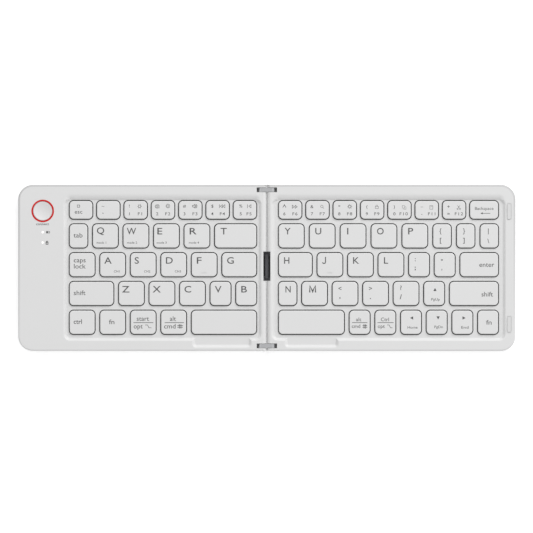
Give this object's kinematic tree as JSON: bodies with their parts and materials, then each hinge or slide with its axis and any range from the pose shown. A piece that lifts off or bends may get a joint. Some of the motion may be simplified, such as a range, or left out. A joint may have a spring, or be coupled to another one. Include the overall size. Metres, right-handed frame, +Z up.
{
  "type": "folding keyboard",
  "caption": "Slim wireless keyboard in two halves that fold face to face on a double hinge, with scissor keys in a recessed well and a ringed connect button.",
  "frame": {"origin": "on the desk, under the middle of the seam between the two halves", "axes": "+X to the user's right along the keyboard, +Y away from the user, +Z up"},
  "size_m": [0.304, 0.1016, 0.008],
  "materials": {
    "shell_plastic": "fine moulded matte, pale grey",
    "key_plastic": "smooth matte, pale grey",
    "key_legend": "printed mid-grey ink",
    "red_ring": "glossy red",
    "steel": "satin",
    "black_plastic": "satin black",
    "foot_rubber": "matt dark grey",
    "bumper_rubber": "matt pale grey",
    "lens_plastic": "milky white",
    "membrane_film": "clear film with printed tracks",
    "mechanism_plastic": "natural white",
    "dome_rubber": "translucent silicone",
    "circuit_board": "green solder mask",
    "battery_wrap": "silver foil pouch",
    "flex_film": "black film"
  },
  "bodies": {
    "left_half": {"left_top_cover": "shell_plastic", "left_bottom_cover": "shell_plastic", "left_base_plate": "steel", "left_membrane": "membrane_film", "left_scissors": "mechanism_plastic", "left_domes": "dome_rubber", "left_hinge_pins": "steel", "left_feet": "foot_rubber", "left_screws": "steel", "left_magnets": "steel", "battery": "battery_wrap", "main_board": "circuit_board", "charging_socket": "steel", "button_ring": "red_ring", "indicator_lenses": "lens_plastic", "flex_cable_left": "flex_film"},
    "hinge_link_set": {"hinge_links": "steel", "cable_link": "black_plastic", "flex_cable_middle": "flex_film"},
    "right_half": {"right_top_cover": "shell_plastic", "right_bottom_cover": "shell_plastic", "right_base_plate": "steel", "right_membrane": "membrane_film", "right_scissors": "mechanism_plastic", "right_domes": "dome_rubber", "right_hinge_pins": "steel", "right_feet": "foot_rubber", "right_screws": "steel", "right_magnets": "steel", "right_bumpers": "bumper_rubber", "flex_cable_right": "flex_film"},
    "connect_button": {"connect_button": "key_plastic"},
    "key_escape": {"key_escape": "key_plastic"},
    "left_number_keys": {"left_number_keys": "key_plastic"},
    "key_tab": {"key_tab": "key_plastic"},
    "left_upper_letter_keys": {"left_upper_letter_keys": "key_plastic"},
    "key_caps_lock": {"key_caps_lock": "key_plastic"},
    "left_home_letter_keys": {"left_home_letter_keys": "key_plastic"},
    "key_left_shift": {"key_left_shift": "key_plastic"},
    "left_lower_letter_keys": {"left_lower_letter_keys": "key_plastic"},
    "key_left_ctrl": {"key_left_ctrl": "key_plastic"},
    "key_left_fn": {"key_left_fn": "key_plastic"},
    "key_start": {"key_start": "key_plastic"},
    "key_left_alt": {"key_left_alt": "key_plastic"},
    "key_left_space": {"key_left_space": "key_plastic"},
    "right_number_keys": {"right_number_keys": "key_plastic"},
    "key_backspace": {"key_backspace": "key_plastic"},
    "right_upper_letter_keys": {"right_upper_letter_keys": "key_plastic"},
    "right_home_letter_keys": {"right_home_letter_keys": "key_plastic"},
    "key_enter": {"key_enter": "key_plastic"},
    "right_lower_letter_keys": {"right_lower_letter_keys": "key_plastic"},
    "key_arrow_up": {"key_arrow_up": "key_plastic"},
    "key_right_shift": {"key_right_shift": "key_plastic"},
    "key_right_space": {"key_right_space": "key_plastic"},
    "key_right_alt": {"key_right_alt": "key_plastic"},
    "key_right_ctrl": {"key_right_ctrl": "key_plastic"},
    "key_arrow_left": {"key_arrow_left": "key_plastic"},
    "key_arrow_down": {"key_arrow_down": "key_plastic"},
    "key_arrow_right": {"key_arrow_right": "key_plastic"},
    "key_right_fn": {"key_right_fn": "key_plastic"}
  },
  "joints": [
    {"name": "fold_left", "type": "hinge", "parent": "left_half", "child": "hinge_link_set", "pos_m": [-0.003, 0, 0.00485], "axis": [0, -1, 0], "range_deg": [0, 90]},
    {"name": "fold_right", "type": "hinge", "parent": "hinge_link_set", "child": "right_half", "pos_m": [0.003, 0, 0.00485], "axis": [0, -1, 0], "range_deg": [0, 90]},
    {"name": "press_connect", "type": "slide", "parent": "left_half", "child": "connect_button", "axis": [0, 0, -1], "range_m": [0, 0.0004], "stiffness_N_per_m": 400, "springref_m": -0.0004},
    {"name": "press_escape", "type": "slide", "parent": "left_half", "child": "key_escape", "axis": [0, 0, -1], "range_m": [0, 0.0012], "stiffness_N_per_m": 200, "springref_m": -0.001},
    {"name": "press_left_number", "type": "slide", "parent": "left_half", "child": "left_number_keys", "axis": [0, 0, -1], "range_m": [0, 0.0012], "stiffness_N_per_m": 200, "springref_m": -0.001, "deforming": ["left_scissors", "left_domes"]},
    {"name": "press_tab", "type": "slide", "parent": "left_half", "child": "key_tab", "axis": [0, 0, -1], "range_m": [0, 0.0012], "stiffness_N_per_m": 200, "springref_m": -0.001},
    {"name": "press_left_upper_letter", "type": "slide", "parent": "left_half", "child": "left_upper_letter_keys", "axis": [0, 0, -1], "range_m": [0, 0.0012], "stiffness_N_per_m": 200, "springref_m": -0.001},
    {"name": "press_caps_lock", "type": "slide", "parent": "left_half", "child": "key_caps_lock", "axis": [0, 0, -1], "range_m": [0, 0.0012], "stiffness_N_per_m": 200, "springref_m": -0.001},
    {"name": "press_left_home_letter", "type": "slide", "parent": "left_half", "child": "left_home_letter_keys", "axis": [0, 0, -1], "range_m": [0, 0.0012], "stiffness_N_per_m": 200, "springref_m": -0.001},
    {"name": "press_left_shift", "type": "slide", "parent": "left_half", "child": "key_left_shift", "axis": [0, 0, -1], "range_m": [0, 0.0012], "stiffness_N_per_m": 200, "springref_m": -0.001},
    {"name": "press_left_lower_letter", "type": "slide", "parent": "left_half", "child": "left_lower_letter_keys", "axis": [0, 0, -1], "range_m": [0, 0.0012], "stiffness_N_per_m": 200, "springref_m": -0.001},
    {"name": "press_left_ctrl", "type": "slide", "parent": "left_half", "child": "key_left_ctrl", "axis": [0, 0, -1], "range_m": [0, 0.0012], "stiffness_N_per_m": 200, "springref_m": -0.001},
    {"name": "press_left_fn", "type": "slide", "parent": "left_half", "child": "key_left_fn", "axis": [0, 0, -1], "range_m": [0, 0.0012], "stiffness_N_per_m": 200, "springref_m": -0.001},
    {"name": "press_start", "type": "slide", "parent": "left_half", "child": "key_start", "axis": [0, 0, -1], "range_m": [0, 0.0012], "stiffness_N_per_m": 200, "springref_m": -0.001},
    {"name": "press_left_alt", "type": "slide", "parent": "left_half", "child": "key_left_alt", "axis": [0, 0, -1], "range_m": [0, 0.0012], "stiffness_N_per_m": 200, "springref_m": -0.001},
    {"name": "press_left_space", "type": "slide", "parent": "left_half", "child": "key_left_space", "axis": [0, 0, -1], "range_m": [0, 0.0012], "stiffness_N_per_m": 200, "springref_m": -0.001},
    {"name": "press_right_number", "type": "slide", "parent": "right_half", "child": "right_number_keys", "axis": [0, 0, -1], "range_m": [0, 0.0012], "stiffness_N_per_m": 200, "springref_m": -0.001, "deforming": ["right_scissors", "right_domes"]},
    {"name": "press_backspace", "type": "slide", "parent": "right_half", "child": "key_backspace", "axis": [0, 0, -1], "range_m": [0, 0.0012], "stiffness_N_per_m": 200, "springref_m": -0.001},
    {"name": "press_right_upper_letter", "type": "slide", "parent": "right_half", "child": "right_upper_letter_keys", "axis": [0, 0, -1], "range_m": [0, 0.0012], "stiffness_N_per_m": 200, "springref_m": -0.001},
    {"name": "press_right_home_letter", "type": "slide", "parent": "right_half", "child": "right_home_letter_keys", "axis": [0, 0, -1], "range_m": [0, 0.0012], "stiffness_N_per_m": 200, "springref_m": -0.001},
    {"name": "press_enter", "type": "slide", "parent": "right_half", "child": "key_enter", "axis": [0, 0, -1], "range_m": [0, 0.0012], "stiffness_N_per_m": 200, "springref_m": -0.001},
    {"name": "press_right_lower_letter", "type": "slide", "parent": "right_half", "child": "right_lower_letter_keys", "axis": [0, 0, -1], "range_m": [0, 0.0012], "stiffness_N_per_m": 200, "springref_m": -0.001},
    {"name": "press_arrow_up", "type": "slide", "parent": "right_half", "child": "key_arrow_up", "axis": [0, 0, -1], "range_m": [0, 0.0012], "stiffness_N_per_m": 200, "springref_m": -0.001},
    {"name": "press_right_shift", "type": "slide", "parent": "right_half", "child": "key_right_shift", "axis": [0, 0, -1], "range_m": [0, 0.0012], "stiffness_N_per_m": 200, "springref_m": -0.001},
    {"name": "press_right_space", "type": "slide", "parent": "right_half", "child": "key_right_space", "axis": [0, 0, -1], "range_m": [0, 0.0012], "stiffness_N_per_m": 200, "springref_m": -0.001},
    {"name": "press_right_alt", "type": "slide", "parent": "right_half", "child": "key_right_alt", "axis": [0, 0, -1], "range_m": [0, 0.0012], "stiffness_N_per_m": 200, "springref_m": -0.001},
    {"name": "press_right_ctrl", "type": "slide", "parent": "right_half", "child": "key_right_ctrl", "axis": [0, 0, -1], "range_m": [0, 0.0012], "stiffness_N_per_m": 200, "springref_m": -0.001},
    {"name": "press_arrow_left", "type": "slide", "parent": "right_half", "child": "key_arrow_left", "axis": [0, 0, -1], "range_m": [0, 0.0012], "stiffness_N_per_m": 200, "springref_m": -0.001},
    {"name": "press_arrow_down", "type": "slide", "parent": "right_half", "child": "key_arrow_down", "axis": [0, 0, -1], "range_m": [0, 0.0012], "stiffness_N_per_m": 200, "springref_m": -0.001},
    {"name": "press_arrow_right", "type": "slide", "parent": "right_half", "child": "key_arrow_right", "axis": [0, 0, -1], "range_m": [0, 0.0012], "stiffness_N_per_m": 200, "springref_m": -0.001},
    {"name": "press_right_fn", "type": "slide", "parent": "right_half", "child": "key_right_fn", "axis": [0, 0, -1], "range_m": [0, 0.0012], "stiffness_N_per_m": 200, "springref_m": -0.001}
  ],
  "couplings": [
    {"joint": "fold_right", "follows": "fold_left", "ratio": 1}
  ]
}
